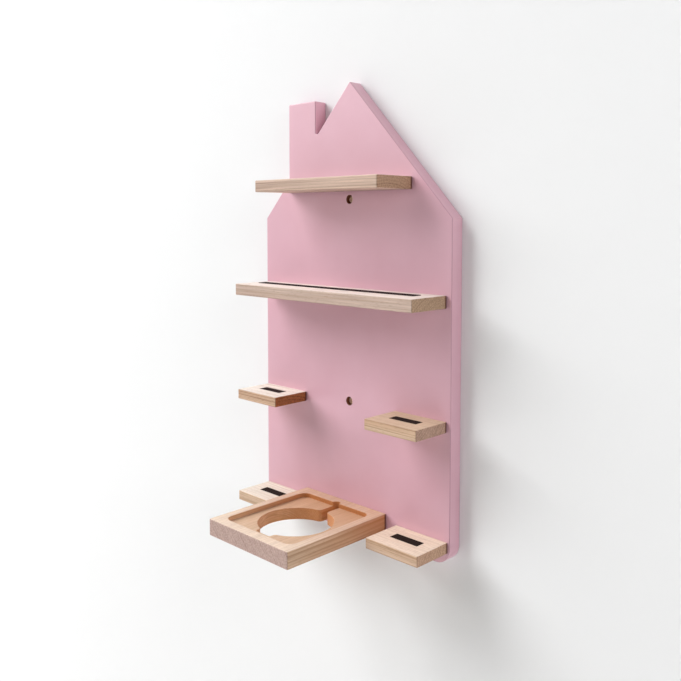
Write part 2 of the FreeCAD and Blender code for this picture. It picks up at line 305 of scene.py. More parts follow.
def raw_fibreboard():
    """Cut medium-density fibreboard: matt brown with a speckle of fibres, drawn coarse so that it shows."""
    fibre_size = 0.9
    fibre_shares = (0.35, 0.65)
    fibre_depth = 0.2
    relief_share = 0.4
    roughness = 0.85
    finish, tree, shader, place = new_finish("raw_fibreboard")
    fibres = {"Vector": place, "Scale": 1 / fibre_size, "Detail": 4.0}
    fibre = add_node(tree, "TexNoise", fibres).outputs["Fac"]
    tone = add_node(tree, "MapRange", (fibre, *fibre_shares)).outputs[0]
    colours = {0: tone, 6: srgb("#6E3F2C"), 7: srgb("#8F5C42")}
    colour = add_node(tree, "Mix", colours, data_type="RGBA").outputs[2]
    relief = add_node(tree, "Bump", {"Height": fibre, "Strength": relief_share, "Distance": fibre_depth * MM})
    tree.links.new(colour, shader.inputs["Base Color"])
    tree.links.new(relief.outputs["Normal"], shader.inputs["Normal"])
    shader.inputs["Roughness"].default_value = roughness
    return finish


board_low, board_high = node_box("house_board")
counterbore_floor_y = board_low[1] + counterbore_depth
peak_z = eaves_z + roof_rise
roof_slope = roof_rise / board_high[0]
house_corners = [
    (board_low[0], board_low[2], bottom_corner_round),
    (board_high[0], board_low[2], bottom_corner_round),
    (board_high[0], eaves_z, point_round),
    (0, peak_z, point_round),
    (chimney_right, peak_z + roof_slope * chimney_right, router_round),
    (chimney_right, chimney_top_z, point_round),
    (chimney_left, chimney_top_z, point_round),
    (chimney_left, peak_z + roof_slope * chimney_left, router_round),
    (board_low[0], eaves_z, point_round),
]
house_outline = rounded_outline(house_corners)
house_section = edge_section(board_high[1], board_low[1], back_edge_round, front_edge_round)
house_rows = edge_rows(house_outline, house_section, Y_AXIS)
back_rims = [house_rows[0]]
front_rims = [house_rows[-1]]
board_parts = [(*loft(house_rows), 0)]

# Counterbored holes for the wall screws.
wall_screw_low, wall_screw_high = node_box("wall_screws")
pan_radius = wall_screw_high[0]
wall_screw_places = [(0, wall_screw_low[2] + pan_radius), (0, wall_screw_high[2] - pan_radius)]
for place in wall_screw_places:
    hole = round_rows(place, [
        (counterbore_radius + hole_edge_round, board_low[1]),
        (counterbore_radius, board_low[1] + hole_edge_round),
        (counterbore_radius, counterbore_floor_y),
        (wall_hole_radius, counterbore_floor_y),
        (wall_hole_radius, board_high[1]),
    ])
    board_parts.append((*loft(hole), 1))
    front_rims.append(hole[0])
    back_rims.append(hole[-1])

# Countersunk holes for the screws from behind.
for node, screw in back_screws.items():
    head_radius, places, reach = fixing_places(node)
    narrow = screw.radius + fixing_clearance
    sink = board_high[1] - reach[1]
    head_slope = (head_radius - screw.radius) / (screw.countersink - sink)
    wide = head_radius + fixing_clearance + sink * head_slope
    cone_end_y = board_high[1] - screw.countersink
    for place in places:
        hole = round_rows(place, [(wide, board_high[1]), (narrow, cone_end_y), (narrow, board_low[1])])
        board_parts.append((*loft(hole), 1))
        back_rims.append(hole[0])
        front_rims.append(hole[-1])

# Blind holes for the dowels.
for node in dowel_nodes:
    radius, places, reach = fixing_places(node)
    bore = radius + fixing_clearance
    for place in places:
        hole = round_rows(place, [(bore, board_low[1]), (bore, reach[1] + fixing_clearance)])
        board_parts.append((*loft(hole), 1))
        board_parts.append((*flat_face([hole[-1]]), 1))
        front_rims.append(hole[0])

board_parts.append((*flat_face(front_rims), 0))
board_parts.append((*flat_face(back_rims), 0))
board_finishes = [satin_paint(), raw_fibreboard()]
make_piece("painted_house_board", board_parts, board_finishes, ["house_board"])

# Wide shelves: two planks of solid beech with the grain along the wall, their edges sanded round and a
# groove milled in the top for a magnet strip. Two screws from behind hold each of them.
wood_edge_round = 0.9
wood_corner_round = 1.5
groove_corner_round = 0.6
# A flat side lies between the last row of its lower edge and the next row.
side_row = edge_row_count - 1
grain_along_wall = 0
grain_from_wall = -FULL_TURN / 4
# A plank's look: where the middle of its tree lies across and up from the origin, the width of its growth
# rings, how strongly its lines, flecks and the painted shade towards the board show, and its colours along
# and across the grain, with a painted sheen colour for the faces that look up.
plank_marks = "pith ring_width line_share fleck_share oil_share"
plank_colours = "pale deep line end_pale end_deep bleached"
Plank = namedtuple("Plank", plank_marks + " " + plank_colours)
shelf_planks = {
    "top_shelf": Plank(
        pith=(-50.0, 60.0), ring_width=3.2, line_share=0.7, fleck_share=0.12, oil_share=0.05,
        pale="#DEC5B4", deep="#D0B5A2", line="#7E6455",
        end_pale="#B59379", end_deep="#7A5A44", bleached="#E6D2C2"),
    "long_shelf": Plank(
        pith=(-10.0, -60.0), ring_width=3.6, line_share=0.55, fleck_share=0.3, oil_share=0,
        pale="#D0BAAC", deep="#C4AA9A", line="#9A7C66",
        end_pale="#B7997E", end_deep="#80644C", bleached="#F0E6DE"),
}


def stretched(tree, place, sizes):
    """A place divided by a pattern's sizes along and across the grain, so that its cells are that large."""
    scale = tuple(1 / size for size in sizes)
    return add_node(tree, "VectorMath", (place, scale), operation="MULTIPLY").outputs[0]


def growth_rings(tree, place, ring_width):
    """Share of dark late wood at a place in a plank.

    The distance from the pith, bent by slow noise and divided by the ring width, counts the rings. Noise
    along that count makes their widths uneven. In each ring the wood darkens smoothly towards the next one,
    by a strength drawn from the ring's whole number.
    """
    bend_sizes = (320.0, 70.0, 70.0)
    bend_reach = 9.0
    waves_per_ring = 0.35
    ring_shift = 2.2
    late_shares = (0.45, 1)
    strength_shares = (0.25, 1)
    bend_place = stretched(tree, place, bend_sizes)
    bend = add_node(tree, "TexNoise", {"Vector": bend_place, "Scale": 1, "Detail": 2.0}).outputs["Color"]
    bend_scale = (0, bend_reach, bend_reach)
    bent = add_node(tree, "VectorMath", (bend, bend_scale, place), operation="MULTIPLY_ADD").outputs[0]
    across = add_node(tree, "VectorMath", (bent, (0, 1, 1)), operation="MULTIPLY").outputs[0]
    distance = add_node(tree, "VectorMath", (across,), operation="LENGTH").outputs["Value"]
    ring = add_node(tree, "Math", (distance, ring_width), operation="DIVIDE").outputs[0]
    waves = {"W": ring, "Scale": waves_per_ring, "Detail": 1.0}
    uneven = add_node(tree, "TexNoise", waves, noise_dimensions="1D").outputs["Fac"]
    ring = add_node(tree, "Math", (uneven, ring_shift, ring), operation="MULTIPLY_ADD").outputs[0]
    phase = add_node(tree, "Math", (ring,), operation="FRACT").outputs[0]
    number = add_node(tree, "Math", (ring,), operation="FLOOR").outputs[0]
    draw = add_node(tree, "TexWhiteNoise", {"W": number}, noise_dimensions="1D").outputs["Value"]
    strength = add_node(tree, "MapRange", (draw, 0, 1, *strength_shares)).outputs[0]
    late = add_node(tree, "MapRange", (phase, *late_shares), interpolation_type="SMOOTHSTEP").outputs[0]
    return add_node(tree, "Math", (late, strength), operation="MULTIPLY").outputs[0]


def long_grain(tree, place, plank, late, upward, fibre):
    """Colour of the faces along the grain.

    Noise stretched along the grain gives broad bands of a pale and a deep tone, and a darker line colour
    comes through as late wood, as streaks, and as stretched cells, the short flecks of the rays. The faces
    that look up are painted towards a sheen colour with faint lines and streaks: a painted sheen that stands
    for what they reflect. Fibres shade it all.
    """
    band_sizes = (400.0, 16.0, 16.0)
    band_shares = (0.32, 0.68)
    streak_sizes = (170.0, 2.6, 2.6)
    streak_shares = (0.46, 0.74)
    # Real ray flecks are about half as wide; they are drawn coarser so that they show.
    fleck_sizes = (9.0, 1.5, 1.5)
    fleck_shares = (0.34, 0.14)
    top_shares = (0.6, 0.95)
    painted_sheen_share = 0.85
    sheen_line_share = 0.3
    fibre_shares = (0.3, 0.7)
    shade_shares = (0.88, 1.07)
    band_place = stretched(tree, place, band_sizes)
    band = add_node(tree, "TexNoise", {"Vector": band_place, "Scale": 1, "Detail": 2.0}).outputs["Fac"]
    band = add_node(tree, "MapRange", (band, *band_shares)).outputs[0]
    streak_place = stretched(tree, place, streak_sizes)
    streak = add_node(tree, "TexNoise", {"Vector": streak_place, "Scale": 1, "Detail": 3.0}).outputs["Fac"]
    streak = add_node(tree, "MapRange", (streak, *streak_shares)).outputs[0]
    fleck_place = stretched(tree, place, fleck_sizes)
    fleck = add_node(tree, "TexVoronoi", {"Vector": fleck_place, "Scale": 1}).outputs["Distance"]
    fleck = add_node(tree, "MapRange", (fleck, *fleck_shares, 0, plank.fleck_share)).outputs[0]
    # Painted sheen: the faces that look up are painted towards a sheen colour, with fainter lines and
    # streaks.
    top = add_node(tree, "MapRange", (upward, *top_shares, 0, painted_sheen_share)).outputs[0]
    line_range = (plank.line_share, plank.line_share * sheen_line_share)
    line_share = add_node(tree, "MapRange", (top, 0, 1, *line_range)).outputs[0]
    late = add_node(tree, "Math", (late, line_share), operation="MULTIPLY").outputs[0]
    streak = add_node(tree, "Math", (streak, line_share), operation="MULTIPLY").outputs[0]
    colours = {0: band, 6: srgb(plank.pale), 7: srgb(plank.deep)}
    colour = add_node(tree, "Mix", colours, data_type="RGBA").outputs[2]
    colour = add_node(tree, "Mix", {0: top, 6: colour, 7: srgb(plank.bleached)}, data_type="RGBA").outputs[2]
    for mark in (late, streak, fleck):
        colour = add_node(tree, "Mix", {0: mark, 6: colour, 7: srgb(plank.line)}, data_type="RGBA").outputs[2]
    shade = add_node(tree, "MapRange", (fibre, *fibre_shares, *shade_shares)).outputs[0]
    shaded = {0: 1, 6: colour, 7: shade}
    return add_node(tree, "Mix", shaded, data_type="RGBA", blend_type="MULTIPLY").outputs[2]


def end_grain(tree, place, plank, late):
    """Colour of the faces across the grain: growth rings cut across, and a speckle of pores from noise."""
    # Real pores are under 0.2 mm wide; they are drawn coarser so that they show.
    pore_sizes = (4.0, 1.6, 1.6)
    pore_range_shares = (0.36, 0.66)
    pore_share = 0.6
    pore_place = stretched(tree, place, pore_sizes)
    pores = add_node(tree, "TexNoise", {"Vector": pore_place, "Scale": 1, "Detail": 3.0}).outputs["Fac"]
    pores = add_node(tree, "MapRange", (pores, *pore_range_shares, 0, pore_share)).outputs[0]
    dark = add_node(tree, "Math", (late, plank.line_share, pores), operation="MULTIPLY_ADD").outputs[0]
    colours = {0: dark, 6: srgb(plank.end_pale), 7: srgb(plank.end_deep)}
    return add_node(tree, "Mix", colours, data_type="RGBA", clamp_factor=True).outputs[2]


def painted_joint_shade(tree, place, colour, upward, oil_share):
    """Colour with painted shade that darkens a plank towards the board, less on its top than on its sides.

    A painted shadow also runs as a dark brown line along the back edge of the sides, where they meet the
    board.
    """
    joint_shade_reach = 147.0
    joint_shade_core = 7.0
    joint_shadow_reach = 4.0
    joint_shadow_core = 2.2
    joint_shadow_share = 0.9
    side_shares = (0.8, 0.3)
    top_shade_share = 0.6
    joint_shade_range = (board_low[1] - joint_shade_reach, board_low[1] - joint_shade_core)
    joint_shadow_range = (board_low[1] - joint_shadow_reach, board_low[1] - joint_shadow_core)
    side = add_node(tree, "MapRange", (upward, *side_shares)).outputs[0]
    shade_weight = add_node(tree, "MapRange", (side, 0, 1, top_shade_share, 1)).outputs[0]
    depth = add_node(tree, "SeparateXYZ", (place,)).outputs["Y"]
    joint_shade = add_node(tree, "MapRange", (depth, *joint_shade_range, 0, oil_share)).outputs[0]
    joint_shade = add_node(tree, "Math", (joint_shade, shade_weight), operation="MULTIPLY").outputs[0]
    # Painted shade towards the board, then a painted shadow line in the joint.
    colour = add_node(tree, "Mix", {0: joint_shade, 6: colour, 7: srgb("#B06A34")}, data_type="RGBA").outputs[2]
    joint_shadow = add_node(tree, "MapRange", (depth, *joint_shadow_range, 0, joint_shadow_share)).outputs[0]
    joint_shadow = add_node(tree, "Math", (joint_shadow, side), operation="MULTIPLY").outputs[0]
    return add_node(tree, "Mix", {0: joint_shadow, 6: colour, 7: srgb("#4E261B")}, data_type="RGBA").outputs[2]


def beech(name, grain_turn, plank):
    """Sanded beech after oiling, as a solid pattern in millimetres, so that every face shows the same plank.

    Long grain turns into darker end grain where the normal leans along the grain. After oiling the surface is
    nearly matt, with a fine relief of fibres that lie along the grain.
    """
    fibre_sizes = (46.0, 1.3, 1.3)
    fibre_depth = 0.25
    relief_share = 0.25
    end_shares = (0.45, 0.8)
    roughness_range = (0.50, 0.66)
    specular_level = 0.3
    finish, tree, shader, place = new_finish(name)
    pith_shift = (0, -plank.pith[0], -plank.pith[1])
    turned = {"Vector": place, "Rotation": (0, 0, grain_turn), "Location": pith_shift}
    plank_place = add_node(tree, "Mapping", turned).outputs["Vector"]
    normal = add_node(tree, "NewGeometry").outputs["Normal"]
    upward = add_node(tree, "SeparateXYZ", (normal,)).outputs["Z"]
    fibre_place = stretched(tree, plank_place, fibre_sizes)
    fibre = add_node(tree, "TexNoise", {"Vector": fibre_place, "Scale": 1, "Detail": 4.0}).outputs["Fac"]
    late = growth_rings(tree, plank_place, plank.ring_width)
    side_colour = long_grain(tree, plank_place, plank, late, upward, fibre)
    end_colour = end_grain(tree, plank_place, plank, late)
    grain_axis = (math.cos(grain_turn), -math.sin(grain_turn), 0)
    along = add_node(tree, "VectorMath", (normal, grain_axis), operation="DOT_PRODUCT").outputs["Value"]
    along = add_node(tree, "Math", (along,), operation="ABSOLUTE").outputs[0]
    end = add_node(tree, "MapRange", (along, *end_shares)).outputs[0]
    colour = add_node(tree, "Mix", {0: end, 6: side_colour, 7: end_colour}, data_type="RGBA").outputs[2]
    colour = painted_joint_shade(tree, place, colour, upward, plank.oil_share)
    matt = add_node(tree, "MapRange", (fibre, 0, 1, *roughness_range)).outputs[0]
    relief = add_node(tree, "Bump", {"Height": fibre, "Strength": relief_share, "Distance": fibre_depth * MM})
    tree.links.new(colour, shader.inputs["Base Color"])
    tree.links.new(matt, shader.inputs["Roughness"])
    tree.links.new(relief.outputs["Normal"], shader.inputs["Normal"])
    shader.inputs["Specular IOR Level"].default_value = specular_level
    return finish


def plan_corners(low, high, radius):
    """Four corners of a box's plan, anticlockwise from its front left, with one radius."""
    places = [(low[0], low[1]), (high[0], low[1]), (high[0], high[1]), (low[0], high[1])]
    return [(x, y, radius) for x, y in places]


def back_bores(node, back_y):
    """Walls, end faces and mouths of the holes for a node's fixings, from a piece's back into its wood."""
    radius, places, reach = fixing_places(node)
    if node in back_screws:
        radius = back_screws[node].radius
    bore = radius + fixing_clearance
    parts = []
    mouths = []
    for place in places:
        hole = round_rows(place, [(bore, back_y), (bore, reach[0] - fixing_clearance)])
        parts += [(*loft(hole), 0), (*flat_face([hole[-1]]), 0)]
        mouths.append(hole[0])
    return parts, mouths


def shelf_parts(name, fixings):
    """A shelf's plank: eased edges all round, a groove for its magnet strip, and bores in its back.

    The flat back face, which ends where the outline's last quarter begins, is taken out of the surface
    round the edge and closed again around the bores.
    """
    low, high = node_box(name)
    strip_low, strip_high = node_box(name + "_magnet_strip")
    outline = rounded_outline(plan_corners(low, high, wood_corner_round))
    rows = edge_rows(outline, edge_section(low[2], high[2], wood_edge_round, wood_edge_round), Z_AXIS)
    points, faces = loft(rows)
    back_left = len(outline[0]) * 3 // 4
    back_right = back_left - 1
    back_face = side_row * len(outline[0]) + back_right
    back_outline = np.stack([rows[side_row, back_right], rows[side_row, back_left],
                             rows[side_row + 1, back_left], rows[side_row + 1, back_right]])
    bores, mouths = back_bores(name + fixings, high[1])
    groove_low = strip_low - fixing_clearance
    groove_high = strip_high + fixing_clearance
    groove = rounded_outline(plan_corners(groove_low, groove_high, groove_corner_round))
    groove_rows = edge_rows(groove, np.array([(0, high[2]), (0, strip_low[2])]), Z_AXIS)
    return bores + [
        (points, np.delete(faces, back_face, axis=0), 0),
        (*flat_face([back_outline] + mouths), 0),
        (*flat_face([rows[0]]), 0),
        (*flat_face([rows[-1], groove_rows[0]]), 0),
        (*loft(groove_rows), 0),
        (*flat_face([groove_rows[-1]]), 0),
    ]


for name, plank in shelf_planks.items():
    shelf_beech = beech("beech_" + name, grain_along_wall, plank)
    make_piece("beech_" + name, shelf_parts(name, "_screws"), [shelf_beech], [name])

# Small ledges: four short beech blocks in two pairs, cut from different planks, so their tone and grain
# differ. Each has a short groove for a magnet strip and is glued to the board with two dowels.
# Their top colours are painted sheen, paler on the left ledges than on the right ones.
ledge_planks = {
    "mid_left_ledge": Plank(
        pith=(-60.0, -230.0), ring_width=2.6, line_share=0.85, fleck_share=0.3, oil_share=0.1,
        pale="#E2CAB2", deep="#D0AC8E", line="#7C4C2A",
        end_pale="#A4663A", end_deep="#522813", bleached="#F2EFE6"),
    "mid_right_ledge": Plank(
        pith=(-90.0, -70.0), ring_width=3.4, line_share=0.65, fleck_share=0.25, oil_share=0.05,
        pale="#DEC4AA", deep="#D0AC8E", line="#8C6440",
        end_pale="#BD9C8A", end_deep="#8C6F5E", bleached="#D0B9A0"),
    "bottom_left_ledge": Plank(
        pith=(40.0, -330.0), ring_width=3.4, line_share=0.5, fleck_share=0.2, oil_share=0.05,
        pale="#DCC6AF", deep="#CEB095", line="#98734F",
        end_pale="#B9957C", end_deep="#8C6C57", bleached="#E2DCD0"),
    "bottom_right_ledge": Plank(
        pith=(-110.0, -215.0), ring_width=3.0, line_share=0.6, fleck_share=0.3, oil_share=0.05,
        pale="#D9BEA6", deep="#C8A588", line="#94693F",
        end_pale="#C9A68C", end_deep="#947159", bleached="#E8D8C6"),
}
for name, plank in ledge_planks.items():
    ledge_beech = beech("beech_" + name, grain_along_wall, plank)
    make_piece("beech_" + name, shelf_parts(name, "_dowels"), [ledge_beech], [name])

# Magnet strips: flexible ferrite-filled vinyl tape, half an inch wide, cut to length and glued into the
# grooves. All lie flush but the long one, which has risen a little. They are nearly black and matt.
strip_edge_round = 0.25
strip_foot_round = 0.1
long_strip_proud = 0.7


def magnet_vinyl():
    """Extruded magnetic vinyl: charcoal, with faint lengthwise lines that are drawn coarse so that they show.

    The filler and a little dust leave hardly any gloss, so the IOR is far below that of clear vinyl.
    """
    line_sizes = (90.0, 0.8, 0.8)
    line_shares = (0.3, 0.7)
    line_depth = 0.1
    relief_share = 0.2
    roughness_range = (0.55, 0.70)
    dull_ior = 1.06
    finish, tree, shader, place = new_finish("magnetic_vinyl")
    line_place = stretched(tree, place, line_sizes)
    line = add_node(tree, "TexNoise", {"Vector": line_place, "Scale": 1, "Detail": 3.0}).outputs["Fac"]
    tone = add_node(tree, "MapRange", (line, *line_shares)).outputs[0]
    colours = {0: tone, 6: srgb("#221A18"), 7: srgb("#2E2522")}
    colour = add_node(tree, "Mix", colours, data_type="RGBA").outputs[2]
    gloss = add_node(tree, "MapRange", (line, 0, 1, *roughness_range)).outputs[0]
    relief = add_node(tree, "Bump", {"Height": line, "Strength": relief_share, "Distance": line_depth * MM})
    tree.links.new(colour, shader.inputs["Base Color"])
    tree.links.new(gloss, shader.inputs["Roughness"])
    tree.links.new(relief.outputs["Normal"], shader.inputs["Normal"])
    shader.inputs["IOR"].default_value = dull_ior
    return finish


def capped(rows):
    """Parts of a closed shape: the surface through its rows and a flat face at each end."""
    return [(*loft(rows), 0), (*flat_face([rows[0]]), 0), (*flat_face([rows[-1]]), 0)]


strip_vinyl = magnet_vinyl()
for name in [*shelf_planks, *ledge_names]:
    node = name + "_magnet_strip"
    strip_low, strip_high = node_box(node)
    if name == "long_shelf":
        strip_high[2] += long_strip_proud
    strip_outline = rounded_outline(plan_corners(strip_low, strip_high, groove_corner_round))
    strip_section = edge_section(strip_low[2], strip_high[2], strip_foot_round, strip_edge_round)
    strip_rows = edge_rows(strip_outline, strip_section, Z_AXIS)
    make_piece("vinyl_" + name + "_strip", capped(strip_rows), [strip_vinyl], [node])

# Dock tray: one thick beech board with the grain from the wall to its front. A router cuts the shallow
# recess and the round opening with its cable slot and finger notch; screws and dowels hold it at the back.
side_rim = 11.5
back_rim = 15.5
front_rim = 13.5
recess_depth = 5.0
recess_round = 10.0
dock_radius = 43.5
dock_forward = 3.0
slot_half = 5.0
slot_into_rim = 5.0
slot_blend = 5.0
notch_half = 12.0
notch_reach = 6.0
notch_blend = 4.0
notch_round = 2.5
recess_edge_round = 0.6
opening_edge_round = 0.5
walk_step = 0.4
arc_steps = 10
circle_steps = 44
even_bearings = 72
bearing_digits = 3
tray_plank = Plank(
    pith=(190.0, -400.0), ring_width=2.7, line_share=0.6, fleck_share=0.2, oil_share=0.7,
    pale="#E0C8B2", deep="#D0AE8E", line="#8A5A30",
    end_pale="#C8ADA3", end_deep="#A1837A", bleached="#E2D1BE")
# The recess and the walls of the opening are given a warmer, darker brown than the tray's other faces.
routed_plank = tray_plank._replace(
    line_share=0.45, fleck_share=0.15, oil_share=0.8,
    pale="#DEB690", deep="#CA9C72", line="#8A5A36",
    end_pale="#CE9C74", end_deep="#A87650", bleached="#CEB69C")


def arc_points(centre, radius, start, end, steps):
    """Points on a circle about a centre, evenly from one angle to another."""
    angle = np.linspace(start, end, steps + 1)
    return np.stack([centre[0] + radius * np.cos(angle), centre[1] + radius * np.sin(angle)], axis=1)


def blend_arc(offset, blend, way):
    """Arc that eases the corner between the round opening and a wall beside it, from the wall to the circle.

    Its centre lies a blend radius from both: at offset + blend along X, and as far along Y as the circle's
    radius + blend allows. It ends where the line from the opening's centre crosses it.
    """
    across = offset + blend
    along = way * math.sqrt((dock_radius + blend) ** 2 - across ** 2)
    end = math.atan2(-along, -across) % FULL_TURN
    return arc_points((across, along), blend, FULL_TURN / 2, end, arc_steps), (across, along)


def opening_half(back_wall):
    """Right half of the round opening's outline, from the middle of its cable slot to its finger notch's.

    It is a chain of arcs: the slot's round end, a blend, the circle, a blend and the notch's round corner.
    """
    slot_arc = arc_points((0, back_wall + slot_into_rim - slot_half), slot_half, FULL_TURN / 4, 0, arc_steps)
    back_blend, back_centre = blend_arc(slot_half, slot_blend, 1)
    front_blend, front_centre = blend_arc(notch_half, notch_blend, -1)
    circle_start = math.atan2(back_centre[1], back_centre[0])
    circle_end = math.atan2(front_centre[1], front_centre[0])
    circle = arc_points((0, 0), dock_radius, circle_start, circle_end, circle_steps)
    notch_end = -dock_radius - notch_reach
    notch_centre = (notch_half - notch_round, notch_end + notch_round)
    notch_arc = arc_points(notch_centre, notch_round, 0, -FULL_TURN / 4, arc_steps)
    return np.concatenate([slot_arc, back_blend, circle, front_blend[::-1], notch_arc, [(0, notch_end)]])


def walked(points):
    """Closed outline with points added along its sides, a step apart."""
    closed = np.vstack([points, points[:1]])
    length = np.concatenate([[0], np.cumsum(np.linalg.norm(np.diff(closed, axis=0), axis=1))])
    stops = np.union1d(length, np.arange(0, length[-1], walk_step))
    return np.stack([np.interp(stops, length, closed[:, 0]), np.interp(stops, length, closed[:, 1])], axis=1)


def bearing(points):
    """Direction of each point from the opening's centre, as an angle from X."""
    return np.arctan2(points[:, 1], points[:, 0])


def distance_at(bearings, points):
    """Distance from the opening's centre to an outline at each bearing."""
    dense = walked(points)
    return np.interp(bearings, bearing(dense), np.hypot(dense[:, 0], dense[:, 1]), period=FULL_TURN)


tray_low, tray_high = node_box("dock_tray")
recess_low = tray_low[:2] + (side_rim, front_rim)
recess_high = tray_high[:2] - (side_rim, back_rim)
dock_centre = (recess_low + recess_high) / 2 - (0, dock_forward)
floor_z = tray_high[2] - recess_depth
tray_corners = plan_corners(tray_low[:2] - dock_centre, tray_high[:2] - dock_centre, wood_corner_round)
tray_outline, tray_normals = rounded_outline(tray_corners)
recess_corners = plan_corners(recess_low - dock_centre, recess_high - dock_centre, recess_round)
recess_outline = rounded_outline(recess_corners)[0]
half_outline = opening_half(recess_high[1] - dock_centre[1])
opening_outline = np.concatenate([half_outline, half_outline[-2:0:-1] * (-1, 1)])

# The tray is one surface of rings about the opening's centre: up round its outer edge, over its top, into
# the recess, down through the opening and back underneath. Each ring is a distance at every bearing.
key_bearings = [bearing(points) for points in (tray_outline, recess_outline, opening_outline)]
key_bearings.append(np.linspace(-math.pi, math.pi, even_bearings, endpoint=False))
bearings = np.unique(np.round(np.concatenate(key_bearings), bearing_digits))
recess = distance_at(bearings, recess_outline)
opening = distance_at(bearings, opening_outline)
rim = np.maximum(recess, opening)
# The opening's eased edge dies out where its slot runs into the recess's wall and leaves no floor.
edge_room = 2 * (opening_edge_round + shading_margin)
floor_shares = np.clip((recess - opening) / edge_room, 0, 1)
outer_section = edge_section(tray_low[2], tray_high[2], wood_edge_round, wood_edge_round)
recess_section = edge_section(tray_high[2], floor_z, recess_edge_round, recess_edge_round)
opening_section = edge_section(floor_z, tray_low[2], opening_edge_round, opening_edge_round)
tray_levels = [(distance_at(bearings, tray_outline - inset * tray_normals), z) for inset, z in outer_section]
tray_levels += [(rim + inset, z) for inset, z in recess_section[:edge_row_count]]
tray_levels.append((rim, floor_z))
tray_levels += [(opening + inset * floor_shares, z) for inset, z in opening_section[:edge_row_count]]
tray_levels += [(opening + inset, z) for inset, z in opening_section[edge_row_count:]]
tray_levels.append(tray_levels[0])
ring_distance = np.stack([distance for distance, z in tray_levels])
ring_z = np.array([z for distance, z in tray_levels])
tray_rows = np.stack([
    dock_centre[0] + ring_distance * np.cos(bearings),
    dock_centre[1] + ring_distance * np.sin(bearings),
    np.broadcast_to(ring_z[:, None], ring_distance.shape),
], axis=2)
tray_points, tray_faces = loft(tray_rows)
on_back = np.flatnonzero(np.abs(tray_rows[side_row, :, 1] - tray_high[1]) < weld_distance)
back_outline = np.concatenate([tray_rows[side_row, on_back], tray_rows[side_row + 1, on_back[::-1]]])
level_number = np.repeat(np.arange(len(tray_levels) - 1), len(bearings))
routed = (level_number >= len(outer_section)) & (level_number < len(tray_levels) - 2)
kept = np.ones(len(tray_faces), bool)
kept[side_row * len(bearings) + on_back[:-1]] = False
tray_parts = [(tray_points, tray_faces[kept & ~routed], 0), (tray_points, tray_faces[kept & routed], 1)]
tray_mouths = []
for node in ("dock_tray_screws", "dock_tray_dowels"):
    bores, mouths = back_bores(node, tray_high[1])
    tray_parts += bores
    tray_mouths += mouths
tray_parts.append((*flat_face([back_outline] + tray_mouths), 0))
tray_beech = beech("beech_dock_tray", grain_from_wall, tray_plank)
routed_beech = beech("routed_beech", grain_from_wall, routed_plank)
make_piece("beech_dock_tray", tray_parts, [tray_beech, routed_beech], ["dock_tray"])

# Screws: zinc-plated steel. Countersunk ones come through the board from behind into the wide shelves and
# the tray; two pan-head ones in the counterbores hold the board on the wall, with their threads behind it.
cross_share = 0.55
cross_blade_share = 0.27
cross_foot_share = 0.55
cross_depth = 1.7
head_edge_round = 0.25
thread_core_share = 0.68
shelf_thread_pitch = 1.8
rows_per_turn = 8
screw_neck = 6.0
screw_tip = 5.0
wall_thread_pitch = 2.2
wall_thread_radius = 2.5
shank_radius = 1.8
pan_flat_share = 0.6
pan_dome_height = 1.6


def zinc_plate(name, bright, dull):
    """Zinc-plated steel: slightly yellow metal with a soft blur and cloudy patches, bright and dull."""
    patch_size = 2.5
    roughness_range = (0.30, 0.48)
    finish, tree, shader, place = new_finish(name)
    patches = {"Vector": place, "Scale": 1 / patch_size, "Detail": 3.0}
    patch = add_node(tree, "TexNoise", patches).outputs["Fac"]
    colour = add_node(tree, "Mix", {0: patch, 6: srgb(bright), 7: srgb(dull)}, data_type="RGBA").outputs[2]
    blur = add_node(tree, "MapRange", (patch, 0, 1, *roughness_range)).outputs[0]
    tree.links.new(colour, shader.inputs["Base Color"])
    tree.links.new(blur, shader.inputs["Roughness"])
    shader.inputs["Metallic"].default_value = 1
    return finish


def thread_rows(place, start_y, end_y, radius, pitch):
    """Rows round a thread along Y: the core plus a ridge that climbs a pitch in each turn.

    The ridge is the square of a triangle wave of distance / pitch - turn, and grows over the first turn.
    Over the tip the whole section shrinks to a point.
    """
    length = abs(end_y - start_y)
    distance = np.linspace(0, length, int(length / pitch * rows_per_turn))[:, None]
    angle = np.arange(bore_steps) * FULL_TURN / bore_steps
    wave = 1 - 2 * np.abs((distance / pitch - angle / FULL_TURN) % 1 - 1 / 2)
    grow = np.clip(distance / pitch, 0, 1)
    core = radius * thread_core_share
    section = core + (radius - core) * grow * wave ** 2
    section = section * np.clip((length - distance) / screw_tip, 0, 1)
    y = np.broadcast_to(start_y + np.sign(end_y - start_y) * distance, section.shape)
    return np.stack([place[0] + section * np.cos(angle), y, place[1] + section * np.sin(angle)], axis=2)


def cross_rows(place, arm, face_y, way):
    """Outlines of a driver's cross, an arm turned by quarters: at a screw's face and, smaller, below it."""
    blade = arm * cross_blade_share
    quarter = np.array([(arm, -blade), (arm, blade), (blade, blade)])
    turned = [quarter, quarter[:, ::-1] * (-1, 1), -quarter, quarter[:, ::-1] * (1, -1)]
    mouth = np.concatenate(turned)
    flat = np.stack([mouth, mouth * cross_foot_share]) + place
    y = np.broadcast_to([[face_y], [face_y + way * cross_depth]], flat.shape[:2])
    return np.stack([flat[..., 0], y, flat[..., 1]], axis=2)


def screw_parts(place, head_profile, thread, arm, way):
    """A screw along Y: its head and neck turned from a profile, its thread, and the cross in its face."""
    head = round_rows(place, head_profile)
    body = np.concatenate([head, thread])
    cross = cross_rows(place, arm, head_profile[0][1], way)
    return [
        (*loft(body), 0),
        (*flat_face([head[0], cross[0]]), 0),
        (*loft(cross), 0),
        (*flat_face([cross[1]]), 0),
    ]


